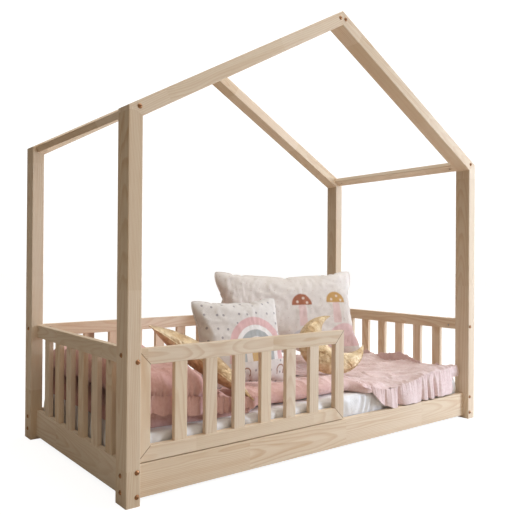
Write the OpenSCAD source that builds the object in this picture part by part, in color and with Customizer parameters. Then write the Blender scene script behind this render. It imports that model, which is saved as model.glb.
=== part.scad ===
// Toddler house bed: a jointed pine frame with a gabled roof outline, slatted end,
// back and guard panels, a slatted base, a mattress and loose bedding.
// Lengths are millimetres. X runs along the bed, Y from the open front to the back, Z up.
// The origin is on the floor below the middle of the bed.

/* [Overall size] */
// Length over the posts
bed_l = 1700; // [1600:10:1900]
// Depth over the posts
bed_w = 900; // [880:10:1000]
// Height of the eaves, at the posts' outer top corner
eave_h = 1135; // [1000:5:1300]
// Height of the ridge
ridge_h = 1615; // [1400:5:1700]

/* [Posts and rafters] */
// Size of the posts along the bed, and of the rafters across their slope
post_x = 45; // [40:1:60]
// Size of the posts and rafters across the bed
post_y = 70; // [66:1:90]

/* [Rails] */
// Thickness of the rails
rail_t = 22; // [20:1:26]
// How far the long rails sit behind the posts' outer faces
rail_set = 26; // [22:1:30]
// Height of the low rails above the floor
low_z = 12; // [5:1:30]
// Height of a low rail's board
low_h = 98; // [90:1:110]
// Height of the top of every panel
panel_top = 442; // [400:1:520]
// Height of a top rail's board
top_h = 48; // [40:1:60]

/* [Slats] */
// Width of a panel slat
slat_w = 44; // [36:1:55]
// Thickness of a panel slat
slat_t = 18; // [14:1:19]
// Distance from one slat to the next
slat_pitch = 110; // [95:1:113]
// Depth of the mortise that each slat end sits in
mortise = 12; // [6:1:20]

/* [Guard panel] */
// Length of the front guard panel
guard_l = 846; // [700:1:1000]
// Width of the guard's bottom rail and stiles
guard_w = 44; // [38:1:50]
// Gap between the low rail and the guard
guard_gap = 3; // [2:1:6]

/* [Roof beams] */
// Width of a roof beam
beam_w = 45; // [40:1:60]
// Thickness of a roof beam
beam_t = 22; // [18:1:26]

/* [Base] */
// Number of slats in the base
base_count = 13; // [10:1:16]
// Width of a base slat
base_slat_w = 70; // [50:1:80]
// Thickness of a base slat
base_slat_t = 18; // [14:1:20]
// Height of a support ledge
ledge_h = 30; // [25:1:35]
// Depth of a support ledge
ledge_d = 20; // [16:1:30]

/* [Mattress] */
// Length of the mattress
mattress_l = 1600; // [1500:10:1790]
// Width of the mattress
mattress_w = 800; // [780:10:890]
// Thickness of the mattress
mattress_t = 99; // [80:1:120]

/* [Hidden] */
roof_angle = atan((ridge_h - eave_h) / (bed_l / 2));
rise = tan(roof_angle);
rafter_drop = post_x / cos(roof_angle);
post_inner_h = eave_h + post_x * rise - rafter_drop;
ridge_inner_h = ridge_h - rafter_drop;
rafter_l = bed_l / 2 / cos(roof_angle);
cut_margin = 60;

inner_l = bed_l - 2 * post_x;
inner_w = bed_w - 2 * post_y;
end_set = post_x - rail_t;
top_z = panel_top - top_h;
rail_mid = rail_set + rail_t / 2;
end_mid = end_set + rail_t / 2;

guard_z = low_z + low_h + guard_gap;
long_count = 14;
end_count = 6;
guard_count = 6;

post_ease = 3;
rail_ease = 1.5;
slat_ease = 2.5;
ease_steps = 3;

bolt_d = 6;
bolt_hole_d = 6.6;
head_d = 15;
head_t = 4.5;
key_across = 5;
key_depth = 2.4;
side_bolt_z = [38, 85, 427];
end_bolt_z = [28, 97, 409];
bolt_in_rail = 48;
nut_d = 10;
nut_l = 15;
nut_in = 36;
fit_gap = 0.1;

dowel_d = 8;
dowel_l = 36;
eave_dowel_share = 0.35;
ridge_dowel_share = 0.2;
pin_d = 8;
pin_l = 40;
screw_d = 4;
screw_l = 36;

beam_set = 17;
eave_along = 30;
ridge_bolt_x = 13;
ridge_mid_h = ridge_h - 29;

ledge_top = 67;
base_top = ledge_top + base_slat_t;
base_len = bed_w - 2 * (rail_set + rail_t) - 6;
strap_w = 20;
strap_t = 1.2;
rest_gap = 0.4;
cover_t = 1.5;
mattress_top = base_top + rest_gap + mattress_t;

$fn = 32;
pine = "burlywood";
brass = "darkgoldenrod";
steel = "silver";
beech = "tan";

// ---------- frame of reference ----------

// The parts are drawn from the bed's front left floor corner and moved to the origin together.
module placed() {
  translate([-bed_l / 2, -bed_w / 2, 0]) children();
}

// Draws its children at one of the four corners: side 0 is left and 1 right, row 0 front and 1 back.
module at_corner(side, row) {
  translate([side * bed_l, row * bed_w, 0])
    mirror([side, 0, 0])
      mirror([0, row, 0])
        children();
}

// The outline of a board's section, with its four corners rounded to radius r.
function eased(w, t, r) = [
  for (c = [[w - r, r, -90], [w - r, t - r, 0], [r, t - r, 90], [r, r, 180]])
    for (i = [0 : ease_steps])
      [c[0] + r * cos(c[2] + i * 90 / ease_steps), c[1] + r * sin(c[2] + i * 90 / ease_steps)]];

// Boards in the box from the origin to size, with the edges along their grain rounded to radius r.
module board_x(size, r) {
  rotate([90, 0, 90]) linear_extrude(size[0]) polygon(eased(size[1], size[2], r));
}

module board_y(size, r) {
  translate([0, size[1], 0])
    rotate([90, 0, 0]) linear_extrude(size[1]) polygon(eased(size[0], size[2], r));
}

module board_z(size, r) {
  linear_extrude(size[2]) polygon(eased(size[0], size[1], r));
}

// An outline in X and Z, given depth along Y.
module slab_xz(points, depth) {
  translate([0, depth, 0])
    rotate([90, 0, 0])
      linear_extrude(depth)
        polygon(points);
}

// ---------- fasteners ----------

// A cylinder that starts at the origin and runs along +X.
module rod_x(d, l) {
  rotate([0, 90, 0]) cylinder(d = d, h = l);
}

// A cylinder that starts at the origin and runs along +Y.
module rod_y(d, l) {
  rotate([-90, 0, 0]) cylinder(d = d, h = l);
}

// A domed furniture bolt: the head is below Z = 0 and the shank runs up.
module bolt(l) {
  dome_r = (head_d * head_d / 4 + head_t * head_t) / (2 * head_t);
  difference() {
    union() {
      cylinder(d = bolt_d, h = l);
      intersection() {
        translate([0, 0, dome_r - head_t]) sphere(dome_r, $fn = 48);
        translate([0, 0, -head_t]) cylinder(d = head_d, h = head_t, $fn = 48);
      }
    }
    translate([0, 0, -head_t - 1]) cylinder(d = key_across, h = key_depth + 1, $fn = 6);
  }
}

// A cross dowel with the bolt's hole through it: its axis is Z, from 0 up, and the bolt runs along X.
module nut() {
  difference() {
    cylinder(d = nut_d, h = nut_l);
    translate([-nut_d, 0, nut_l / 2]) rod_x(bolt_d + 2 * fit_gap, 2 * nut_d);
  }
}

// ---------- places of the bolts, in the front left corner's directions ----------

// True where a long rail or the guard meets the post at this height.
function has_side_bolt(side, row, z) = z < guard_z || row == 1 || side == 0;

// Runs its children once for each bolt through a post's end face into a long rail.
module each_side_bolt(side, row) {
  for (z = side_bolt_z)
    if (has_side_bolt(side, row, z))
      translate([0, rail_mid, z]) children();
}

// Runs its children once for each bolt through a post's front or back face into an end rail.
module each_end_bolt() {
  for (z = end_bolt_z)
    translate([end_mid, 0, z]) children();
}

// The middle of a roof beam's bolt, on the rafter's face.
eave_bolt = [
  eave_along * cos(roof_angle) + beam_set * sin(roof_angle),
  0,
  eave_h + eave_along * sin(roof_angle) - beam_set * cos(roof_angle)];
ridge_bolt = [bed_l / 2 - ridge_bolt_x, 0, ridge_mid_h];

// ---------- posts and rafters ----------

// The two dowels across a mitre that runs from a to b in X and Z, at a share of the way along it.
module mitre_dowels(a, b, share, d, l) {
  mid = a + share * (b - a);
  turn = atan2(b[1] - a[1], b[0] - a[0]);
  for (y = [post_y / 3, 2 * post_y / 3])
    translate([mid[0], y, mid[1]])
      rotate([0, -turn, 0])
        cylinder(d = d, h = l, center = true);
}

module eave_mitre_dowels(d, l) {
  mitre_dowels([0, eave_h], [post_x, post_inner_h], eave_dowel_share, d, l);
}

module ridge_mitre_dowels(d, l) {
  mitre_dowels([bed_l / 2, ridge_inner_h], [bed_l / 2, ridge_h], ridge_dowel_share, d, l);
}

// The space on one side of the eave mitre: above it (side 1) or below it (side -1).
module beyond_eave_mitre(side) {
  translate([0, 0, eave_h])
    rotate([0, atan2(eave_h - post_inner_h, post_x), 0])
      translate([-cut_margin, -1, (side - 1) / 2 * 2 * cut_margin])
        cube([post_x + 3 * cut_margin, post_y + 2, 2 * cut_margin]);
}

module post(side, row) {
  color(pine) placed() at_corner(side, row)
    difference() {
      board_z([post_x, post_y, eave_h], post_ease);
      beyond_eave_mitre(1);
      each_side_bolt(side, row) translate([-1, 0, 0]) rod_x(bolt_hole_d, post_x + 2);
      each_end_bolt() translate([0, -1, 0]) rod_y(bolt_hole_d, post_y + 2);
      eave_mitre_dowels(dowel_d + fit_gap, dowel_l + 2);
    }
}

module rafter(side, row) {
  color(pine) placed() at_corner(side, row)
    difference() {
      translate([0, 0, eave_h])
        rotate([0, -roof_angle, 0])
          translate([-cut_margin / 2, 0, -post_x])
            board_x([rafter_l + cut_margin, post_y, post_x], post_ease);
      beyond_eave_mitre(-1);
      translate([bed_l / 2, -1, ridge_inner_h - cut_margin])
        cube([2 * cut_margin, post_y + 2, 4 * cut_margin]);
      translate(eave_bolt) translate([0, -1, 0]) rod_y(bolt_hole_d, post_y + 2);
      translate(ridge_bolt) translate([0, -1, 0]) rod_y(bolt_hole_d, post_y + 2);
      eave_mitre_dowels(dowel_d + fit_gap, dowel_l + 2);
      ridge_mitre_dowels(dowel_d + fit_gap, dowel_l + 2);
    }
}

// ---------- roof beams, between the front and back rafters ----------

// A beam along Y, centred on X and Z. bolt_x lists where the bolts enter its ends.
module beam(bolt_x) {
  difference() {
    translate([-beam_w / 2, post_y, -beam_t / 2]) board_y([beam_w, inner_w, beam_t], post_ease);
    for (x = bolt_x) {
      translate([x, post_y - 1, 0]) rod_y(bolt_hole_d, bolt_in_rail + 3);
      translate([x, bed_w - post_y - bolt_in_rail - 2, 0]) rod_y(bolt_hole_d, bolt_in_rail + 3);
      for (y = [post_y + nut_in, bed_w - post_y - nut_in])
        translate([x, y, -beam_t / 2 - 1])
          cylinder(d = nut_d + 2 * fit_gap, h = 1 + (beam_t + nut_l) / 2 + fit_gap);
    }
  }
}

module ridge_beam() {
  color(pine) placed()
    translate([bed_l / 2, 0, ridge_mid_h]) beam([-ridge_bolt_x, ridge_bolt_x]);
}

module eave_beam(side) {
  color(pine) placed() at_corner(side, 0)
    translate([eave_bolt[0], 0, eave_bolt[2]])
      rotate([0, -roof_angle, 0]) beam([0]);
}

// ---------- long rails, along X, drawn in the front left corner's directions ----------

// The bolt and nut bores in one end of a rail. The end face is at X = 0 and the rail runs along +X.
module rail_end_bores(depth_mid, z, nut_side) {
  translate([-1, depth_mid, z]) rod_x(bolt_hole_d, bolt_in_rail + 3);
  translate([nut_in, depth_mid + nut_side * (rail_t / 2 + 1), z])
    rotate([nut_side * 90, 0, 0])
      cylinder(d = nut_d + 2 * fit_gap, h = 1 + (rail_t + nut_l) / 2 + fit_gap);
}

// Slat mortises along X from a list of slat middles, cut down (sign -1) or up (sign 1) from z.
module mortises_x(middles, y, z, sign) {
  for (x = middles)
    translate([x - slat_w / 2 - fit_gap, y - slat_t / 2 - fit_gap, z - (sign < 0 ? mortise : 1)])
      cube([slat_w + 2 * fit_gap, slat_t + 2 * fit_gap, mortise + 1]);
}

function slat_middles(count, middle) =
  [for (i = [0 : count - 1]) middle + (i - (count - 1) / 2) * slat_pitch];

back_middles = slat_middles(long_count, bed_l / 2);
guard_middles = slat_middles(guard_count, post_x + guard_l / 2);
end_middles = slat_middles(end_count, bed_w / 2);

module long_rail(z, h, bolt_heights) {
  difference() {
    translate([post_x, rail_set, z]) board_x([inner_l, rail_t, h], rail_ease);
    for (bz = bolt_heights) {
      translate([post_x, 0, 0]) rail_end_bores(rail_mid, bz, 1);
      translate([bed_l - post_x, 0, 0]) mirror([1, 0, 0]) rail_end_bores(rail_mid, bz, 1);
    }
  }
}

// The screws that hold a ledge to its low rail.
ledge_screw_x = [for (i = [0 : 4]) post_x + 90 + i * (inner_l - 180) / 4];
guard_pin_x = [for (i = [0 : 2]) post_x + 90 + i * (guard_l - 180) / 2];

module ledge_screw_holes(d, from, l) {
  for (x = ledge_screw_x)
    translate([x, from, ledge_top - ledge_h / 2]) rod_y(d, l);
}

// The holes for the dowels between the guard and the low rail.
module low_pin_holes() {
  for (x = guard_pin_x)
    translate([x, rail_mid, low_z + low_h - (pin_l - guard_gap) / 2])
      cylinder(d = pin_d + fit_gap, h = pin_l);
}

module front_low_rail() {
  color(pine) placed()
    difference() {
      long_rail(low_z, low_h, [side_bolt_z[0], side_bolt_z[1]]);
      ledge_screw_holes(screw_d + fit_gap, rail_set + rail_t + ledge_d - screw_l, screw_l);
      low_pin_holes();
    }
}

module back_low_rail() {
  color(pine) placed() at_corner(0, 1)
    difference() {
      long_rail(low_z, low_h, [side_bolt_z[0], side_bolt_z[1]]);
      ledge_screw_holes(screw_d + fit_gap, rail_set + rail_t + ledge_d - screw_l, screw_l);
      mortises_x(back_middles, rail_mid, low_z + low_h, -1);
    }
}

module back_top_rail() {
  color(pine) placed() at_corner(0, 1)
    difference() {
      long_rail(top_z, top_h, [side_bolt_z[2]]);
      mortises_x(back_middles, rail_mid, top_z, 1);
    }
}

// ---------- end rails, along Y, drawn at the left end ----------

module end_rail(z, h, bolt_heights) {
  difference() {
    translate([end_set, post_y, z]) board_y([rail_t, inner_w, h], rail_ease);
    for (bz = bolt_heights)
      for (row = [0, 1])
        at_corner(0, row)
          translate([0, post_y, 0])
            rotate([0, 0, 90])
              mirror([0, 1, 0]) rail_end_bores(end_mid, bz, 1);
  }
}

// Slat mortises along Y.
module mortises_y(z, sign) {
  for (y = end_middles)
    translate([end_mid - slat_t / 2 - fit_gap, y - slat_w / 2 - fit_gap, z - (sign < 0 ? mortise : 1)])
      cube([slat_t + 2 * fit_gap, slat_w + 2 * fit_gap, mortise + 1]);
}

module end_low_rail(side) {
  color(pine) placed() at_corner(side, 0)
    difference() {
      end_rail(low_z, low_h, [end_bolt_z[0], end_bolt_z[1]]);
      mortises_y(low_z + low_h, -1);
    }
}

module end_top_rail(side) {
  color(pine) placed() at_corner(side, 0)
    difference() {
      end_rail(top_z, top_h, [end_bolt_z[2]]);
      mortises_y(top_z, 1);
    }
}

// ---------- guard panel ----------

guard_x0 = post_x;
guard_x1 = post_x + guard_l;

// Each dowelled mitre's outer corner and the way to its inner one. The bolt clamps the fourth mitre.
guard_corners = [
  [guard_x0, guard_z, guard_w, guard_w],
  [guard_x1, guard_z, -guard_w, guard_w],
  [guard_x1, panel_top, -guard_w, -top_h]];

// The dowel across each of those mitres.
module guard_mitre_pins(d, l) {
  for (c = guard_corners)
    translate([c[0] + c[2] / 2, rail_mid, c[1] + c[3] / 2])
      rotate([0, -atan2(c[3], c[2]), 0])
        cylinder(d = d, h = l, center = true);
}

// The bores in the guard's members: mitre dowels, the bolt at the left post, slat mortises
// (side -1 in the bottom rail, 1 in the top rail) and the dowels into the low rail.
module guard_bores(side) {
  guard_mitre_pins(pin_d + fit_gap, pin_l + 2);
  translate([post_x, 0, 0]) rail_end_bores(rail_mid, side_bolt_z[2], 1);
  if (side < 0) mortises_x(guard_middles, rail_mid, guard_z + guard_w, -1);
  if (side > 0) mortises_x(guard_middles, rail_mid, top_z, 1);
  if (side < 0) low_pin_holes();
}

// The part of a guard member between its two mitres. a and b are its outer corners,
// and c and d are the inner corners next to b and a.
module between_mitres(a, b, c, d) {
  over = 0.2;
  translate([0, rail_set - 1, 0])
    slab_xz([a + over * (a - d), b + over * (b - c), c + over * (c - b), d + over * (d - a)], rail_t + 2);
}

guard_outer = [[guard_x0, guard_z], [guard_x1, guard_z], [guard_x1, panel_top], [guard_x0, panel_top]];
guard_inner = [
  [guard_x0 + guard_w, guard_z + guard_w], [guard_x1 - guard_w, guard_z + guard_w],
  [guard_x1 - guard_w, top_z], [guard_x0 + guard_w, top_z]];

// Keeps what its children have between the mitres at corners i and the next one round.
module guard_member(i) {
  k = (i + 1) % 4;
  intersection() {
    children();
    between_mitres(guard_outer[i], guard_outer[k], guard_inner[k], guard_inner[i]);
  }
}

module guard_rail(i, z, h, side) {
  color(pine) placed()
    difference() {
      guard_member(i) translate([guard_x0, rail_set, z]) board_x([guard_l, rail_t, h], rail_ease);
      guard_bores(side);
    }
}

module guard_stile(i, x) {
  color(pine) placed()
    difference() {
      guard_member(i)
        translate([x, rail_set, guard_z]) board_z([guard_w, rail_t, panel_top - guard_z], rail_ease);
      guard_bores(0);
    }
}

module guard_bottom_rail() {
  guard_rail(0, guard_z, guard_w, -1);
}

module guard_right_stile() {
  guard_stile(1, guard_x1 - guard_w);
}

module guard_top_rail() {
  guard_rail(2, top_z, top_h, 1);
}

module guard_left_stile() {
  guard_stile(3, guard_x0);
}

// ---------- panel slats ----------

// A slat whose tenons reach into the rails below z0 and above top_z.
module slat_x(middle, z0) {
  translate([middle - slat_w / 2, rail_mid - slat_t / 2, z0 - mortise])
    board_z([slat_w, slat_t, top_z - z0 + 2 * mortise], slat_ease);
}

module guard_slat(i) {
  color(pine) placed() slat_x(guard_middles[i - 1], guard_z + guard_w);
}

module end_slat(side, i) {
  color(pine) placed() at_corner(side, 0)
    translate([end_mid - slat_t / 2, end_middles[i - 1] - slat_w / 2, low_z + low_h - mortise])
      board_z([slat_t, slat_w, top_z - low_z - low_h + 2 * mortise], slat_ease);
}

module back_slats() {
  color(pine) placed() at_corner(0, 1)
    for (m = back_middles) slat_x(m, low_z + low_h);
}

// ---------- base ----------

base_x0 = post_x + 8 + base_slat_w / 2;
base_x = [for (i = [0 : base_count - 1]) base_x0 + i * (bed_l - 2 * base_x0) / (base_count - 1)];
base_screw_y = [for (row = [0, 1]) row == 0 ? rail_set + rail_t + ledge_d / 2
  : bed_w - rail_set - rail_t - ledge_d / 2];

module ledge(row) {
  color(pine) placed() at_corner(0, row)
    difference() {
      translate([post_x + 2, rail_set + rail_t, ledge_top - ledge_h])
        board_x([inner_l - 4, ledge_d, ledge_h], rail_ease);
      ledge_screw_holes(screw_d + fit_gap, rail_set + rail_t + ledge_d - screw_l, screw_l + 1);
      for (x = [base_x[0], base_x[base_count - 1]])
        translate([x, rail_set + rail_t + ledge_d / 2, base_top - screw_l])
          cylinder(d = screw_d + fit_gap, h = screw_l);
    }
}

module base_slats() {
  color(pine) placed()
    for (i = [0 : base_count - 1])
      difference() {
        translate([base_x[i] - base_slat_w / 2, (bed_w - base_len) / 2, ledge_top])
          board_y([base_slat_w, base_len, base_slat_t], slat_ease);
        if (i == 0 || i == base_count - 1)
          for (y = base_screw_y)
            translate([base_x[i], y, ledge_top - 1]) cylinder(d = screw_d + fit_gap, h = base_slat_t + 2);
      }
}

module base_straps() {
  color("ivory") placed()
    for (y = [bed_w / 3, 2 * bed_w / 3])
      translate([base_x[0] - base_slat_w / 2, y - strap_w / 2, ledge_top - strap_t])
        cube([base_x[base_count - 1] - base_x[0] + base_slat_w, strap_w, strap_t]);
}

// ---------- fastener groups ----------

module side_bolts() {
  color(brass) placed()
    for (side = [0, 1])
      for (row = [0, 1])
        at_corner(side, row)
          each_side_bolt(side, row) rotate([0, 90, 0]) bolt(post_x + bolt_in_rail);
}

module end_bolts() {
  color(brass) placed()
    for (side = [0, 1])
      for (row = [0, 1])
        at_corner(side, row)
          each_end_bolt() rotate([-90, 0, 0]) bolt(post_y + bolt_in_rail);
}

module roof_bolts() {
  color(brass) placed()
    for (side = [0, 1])
      for (row = [0, 1])
        at_corner(side, row)
          for (p = [eave_bolt, ridge_bolt])
            translate(p) rotate([-90, 0, 0]) bolt(post_y + bolt_in_rail);
}

// A nut in a rail whose end face is at X = 0, as in rail_end_bores.
module rail_nut(depth_mid, z) {
  translate([nut_in, depth_mid + nut_l / 2, z]) rotate([90, 0, 0]) nut();
}

module barrel_nuts() {
  color(steel) placed() {
    for (side = [0, 1])
      for (row = [0, 1])
        at_corner(side, row) {
          for (z = side_bolt_z)
            if (has_side_bolt(side, row, z))
              translate([post_x, 0, 0]) rail_nut(rail_mid, z);
          for (z = end_bolt_z)
            translate([0, post_y, 0])
              rotate([0, 0, 90])
                mirror([0, 1, 0]) rail_nut(end_mid, z);
          translate([eave_bolt[0], post_y + nut_in, eave_bolt[2]])
            rotate([0, -roof_angle, 0])
              translate([0, 0, -nut_l / 2])
                rotate([0, 0, 90]) nut();
          translate([ridge_bolt[0], post_y + nut_in, ridge_bolt[2] - nut_l / 2])
            rotate([0, 0, 90]) nut();
        }
  }
}

module roof_dowels() {
  color(beech) placed() {
    for (row = [0, 1]) {
      for (side = [0, 1])
        at_corner(side, row) eave_mitre_dowels(dowel_d, dowel_l);
      at_corner(0, row) ridge_mitre_dowels(dowel_d, dowel_l);
    }
  }
}

module guard_dowels() {
  color(beech) placed() {
    guard_mitre_pins(pin_d, pin_l);
    for (x = guard_pin_x)
      translate([x, rail_mid, low_z + low_h - (pin_l - guard_gap) / 2 + 1])
        cylinder(d = pin_d, h = pin_l - 2);
  }
}

module base_screws() {
  color(steel) placed() {
    for (row = [0, 1])
      at_corner(0, row) {
        ledge_screw_holes(screw_d, rail_set + rail_t + ledge_d - screw_l + 1, screw_l - 1);
        for (x = [base_x[0], base_x[base_count - 1]])
          translate([x, rail_set + rail_t + ledge_d / 2, base_top - screw_l + 1])
            cylinder(d = screw_d, h = screw_l - 1);
      }
  }
}

// ---------- mattress ----------

mattress_x0 = (bed_l - mattress_l) / 2;
mattress_y0 = (bed_w - mattress_w) / 2;
mattress_z0 = base_top + rest_gap;

module mattress() {
  color("white") placed()
    translate([mattress_x0 + cover_t, mattress_y0 + cover_t, mattress_z0])
      cube([mattress_l - 2 * cover_t, mattress_w - 2 * cover_t, mattress_t - cover_t]);
}

// The sheet is a skin over the top and the four sides.
module fitted_sheet() {
  color("snow") placed()
    difference() {
      translate([mattress_x0, mattress_y0, mattress_z0]) cube([mattress_l, mattress_w, mattress_t]);
      translate([mattress_x0 + cover_t, mattress_y0 + cover_t, mattress_z0 - 1])
        cube([mattress_l - 2 * cover_t, mattress_w - 2 * cover_t, mattress_t - cover_t + 1]);
    }
}

// ---------- bedding ----------

quilt_z = mattress_top + rest_gap;
quilt_x0 = 56;
quilt_x1 = 1647;
quilt_y0 = 56;
quilt_y1 = 846;
spread_z = 198;

heap_x1 = 440;
heap_y1 = 770;
heap_profile = [[heap_x1, 210], [320, 285], [130, 365], [quilt_x0, 365]];
heap_back_profile = [[heap_x1, 210], [200, 300], [quilt_x0, 300]];

roll_x0 = 540;
roll_y0 = 100;
roll_y1 = 240;
roll_z = 244;

drape_x = 1015;
drape_y0 = 28;
drape_y1 = 48.5;
drape_gap = 1.5;
drape_z = low_z + low_h + drape_gap;

// A block between two corners.
module block(low, high) {
  translate(low) cube(high - low);
}

// A part of the heap between two depths: it rests on the mattress under its profile.
module heap(profile, y0, y1) {
  translate([0, y0, 0])
    slab_xz(concat([[quilt_x0, quilt_z], [heap_x1, quilt_z]], profile), y1 - y0);
}

// The quilt lies bunched up at the left, rolled along the front, and spread over the right,
// where its edge hangs over the front.
module quilt() {
  color("rosybrown") placed()
    union() {
      heap(heap_profile, quilt_y0, heap_y1);
      heap(heap_back_profile, heap_y1, quilt_y1);
      block([heap_x1, roll_y0, quilt_z], [drape_x, quilt_y1, spread_z]);
      block([roll_x0, roll_y0, quilt_z], [drape_x, roll_y1, roll_z]);
      block([drape_x, drape_y0, quilt_z], [quilt_x1, quilt_y1, spread_z]);
      block([drape_x, drape_y0, drape_z], [quilt_x1, drape_y1, quilt_z + 1]);
    }
}

pad_edge_t = 14;
pad_flat_w = 0.68;
pad_flat_h = 0.64;

// A plain pillow shape standing in X and Z: full thickness in the middle, thin at the edge.
module pad(w, h, t) {
  hull() {
    cube([w, pad_edge_t, h], center = true);
    cube([w * pad_flat_w, t, h * pad_flat_h], center = true);
  }
}

pillow_w = 715;
pillow_h = 420;
pillow_t = 125;
pillow_mid = [1143, 630, 446];
pillow_turn = -17;
pillow_lean = -16;

module pillow() {
  color("linen") placed()
    translate(pillow_mid)
      rotate([0, 0, pillow_turn])
        rotate([pillow_lean, 0, 0]) pad(pillow_w, pillow_h, pillow_t);
}

cushion_w = 400;
cushion_h = 345;
cushion_t = 110;
cushion_mid = [649, 344, 380];
cushion_turn = -2;
cushion_lean = -16;

module square_cushion() {
  color("whitesmoke") placed()
    translate(cushion_mid)
      rotate([0, 0, cushion_turn])
        rotate([cushion_lean, 0, 0]) pad(cushion_w, cushion_h, cushion_t);
}

// A crescent in X and Y with its horns towards +X. It is cut from a lens of thickness t, which
// has its centre in the middle of the crescent's body, so that the horns are thin.
module crescent(moon) {
  outer_r = moon[0];
  inner_r = moon[1];
  shift = moon[2];
  lens_r = moon[3];
  t = moon[4];
  ball_r = (lens_r * lens_r + t * t / 4) / t;
  body_x = (shift - inner_r - outer_r) / 2;
  intersection() {
    linear_extrude(t + 1, center = true)
      difference() {
        circle(outer_r, $fn = 64);
        translate([shift, 0]) circle(inner_r, $fn = 64);
      }
    translate([body_x, 0, t / 2 - ball_r]) sphere(ball_r, $fn = 96);
    translate([body_x, 0, ball_r - t / 2]) sphere(ball_r, $fn = 96);
  }
}

// Each moon: radius of its outer edge, radius of its inner edge, distance between their centres,
// radius of the lens it is cut from, and its full thickness.
small_moon = [145, 102, 85, 178, 90];
small_moon_mid = [1190, 370, 344];
small_moon_turn = [54, 0, -33];
small_moon_roll = 42;

module small_moon_cushion() {
  color("goldenrod") placed()
    translate(small_moon_mid)
      rotate(small_moon_turn)
        rotate([0, 0, small_moon_roll]) crescent(small_moon);
}

large_moon = [219, 441, 344, 260, 88];
large_moon_mid = [316, 103, 356];
large_moon_turn = [-36, 0, -120];

module large_moon_cushion() {
  color("goldenrod") placed()
    translate(large_moon_mid)
      rotate(large_moon_turn) crescent(large_moon);
}

// ---------- the bed ----------

post(0, 0);  // post_front_left
post(1, 0);  // post_front_right
post(0, 1);  // post_back_left
post(1, 1);  // post_back_right
rafter(0, 0);  // rafter_front_left
rafter(1, 0);  // rafter_front_right
rafter(0, 1);  // rafter_back_left
rafter(1, 1);  // rafter_back_right
ridge_beam();
eave_beam(0);  // eave_beam_left
eave_beam(1);  // eave_beam_right
front_low_rail();
back_low_rail();
end_low_rail(0);  // left_low_rail
end_low_rail(1);  // right_low_rail
back_top_rail();
end_top_rail(0);  // left_top_rail
end_top_rail(1);  // right_top_rail
guard_top_rail();
guard_bottom_rail();
guard_left_stile();
guard_right_stile();
for (i = [1 : guard_count])
  guard_slat(i);
for (i = [1 : end_count])
  end_slat(0, i);
for (i = [1 : end_count])
  end_slat(1, i);
back_slats();
ledge(0);  // front_ledge
ledge(1);  // back_ledge
base_slats();
base_straps();
side_bolts();
end_bolts();
roof_bolts();
barrel_nuts();
roof_dowels();
guard_dowels();
base_screws();
mattress();
fitted_sheet();
quilt();
pillow();
square_cushion();
small_moon_cushion();
large_moon_cushion();
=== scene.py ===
import math

import bpy
import numpy as np
from mathutils import Euler, Matrix, Vector


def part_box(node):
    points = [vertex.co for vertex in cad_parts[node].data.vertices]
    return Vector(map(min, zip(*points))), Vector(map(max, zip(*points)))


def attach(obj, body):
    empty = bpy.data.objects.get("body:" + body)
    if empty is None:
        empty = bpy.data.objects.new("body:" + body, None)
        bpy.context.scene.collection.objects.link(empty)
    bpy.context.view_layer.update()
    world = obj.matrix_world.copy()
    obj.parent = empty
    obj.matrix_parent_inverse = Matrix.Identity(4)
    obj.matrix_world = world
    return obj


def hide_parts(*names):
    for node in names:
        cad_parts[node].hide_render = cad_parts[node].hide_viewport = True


# A jointed pine house bed with its mattress, quilt, pillow and cushions. Metres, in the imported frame.

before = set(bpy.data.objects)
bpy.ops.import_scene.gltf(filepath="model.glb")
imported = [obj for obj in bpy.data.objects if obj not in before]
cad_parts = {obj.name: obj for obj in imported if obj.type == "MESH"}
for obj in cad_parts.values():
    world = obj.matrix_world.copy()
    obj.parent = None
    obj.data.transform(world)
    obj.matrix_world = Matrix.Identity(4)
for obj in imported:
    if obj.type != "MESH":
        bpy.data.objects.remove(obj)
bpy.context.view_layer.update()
SCENE = bpy.context.scene
TAU = 2 * math.pi

# ---------- driving values ----------

# The bed's front left floor corner, the level of its mattress's top, and the pitch of its roof.
CORNER = Vector((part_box("post_front_left")[0].x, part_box("post_front_left")[0].y, 0))
BED_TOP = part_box("mattress")[1].z
ROOF_ANGLE = math.atan2(
    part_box("rafter_front_left")[1].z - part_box("post_front_left")[1].z,
    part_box("rafter_front_left")[1].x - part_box("rafter_front_left")[0].x)


def from_corner(millimetres):
    """Points in millimetres from the bed's front left floor corner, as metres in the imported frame."""
    return millimetres / 1000 + np.array(CORNER)


# ---------- shader building ----------


def srgb(red, green, blue):
    """An 0-255 display colour as a linear shader colour."""
    part = [c / 255 for c in (red, green, blue)]
    return tuple(c / 12.92 if c <= 0.04045 else ((c + 0.055) / 1.055) ** 2.4 for c in part) + (1.0,)


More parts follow.
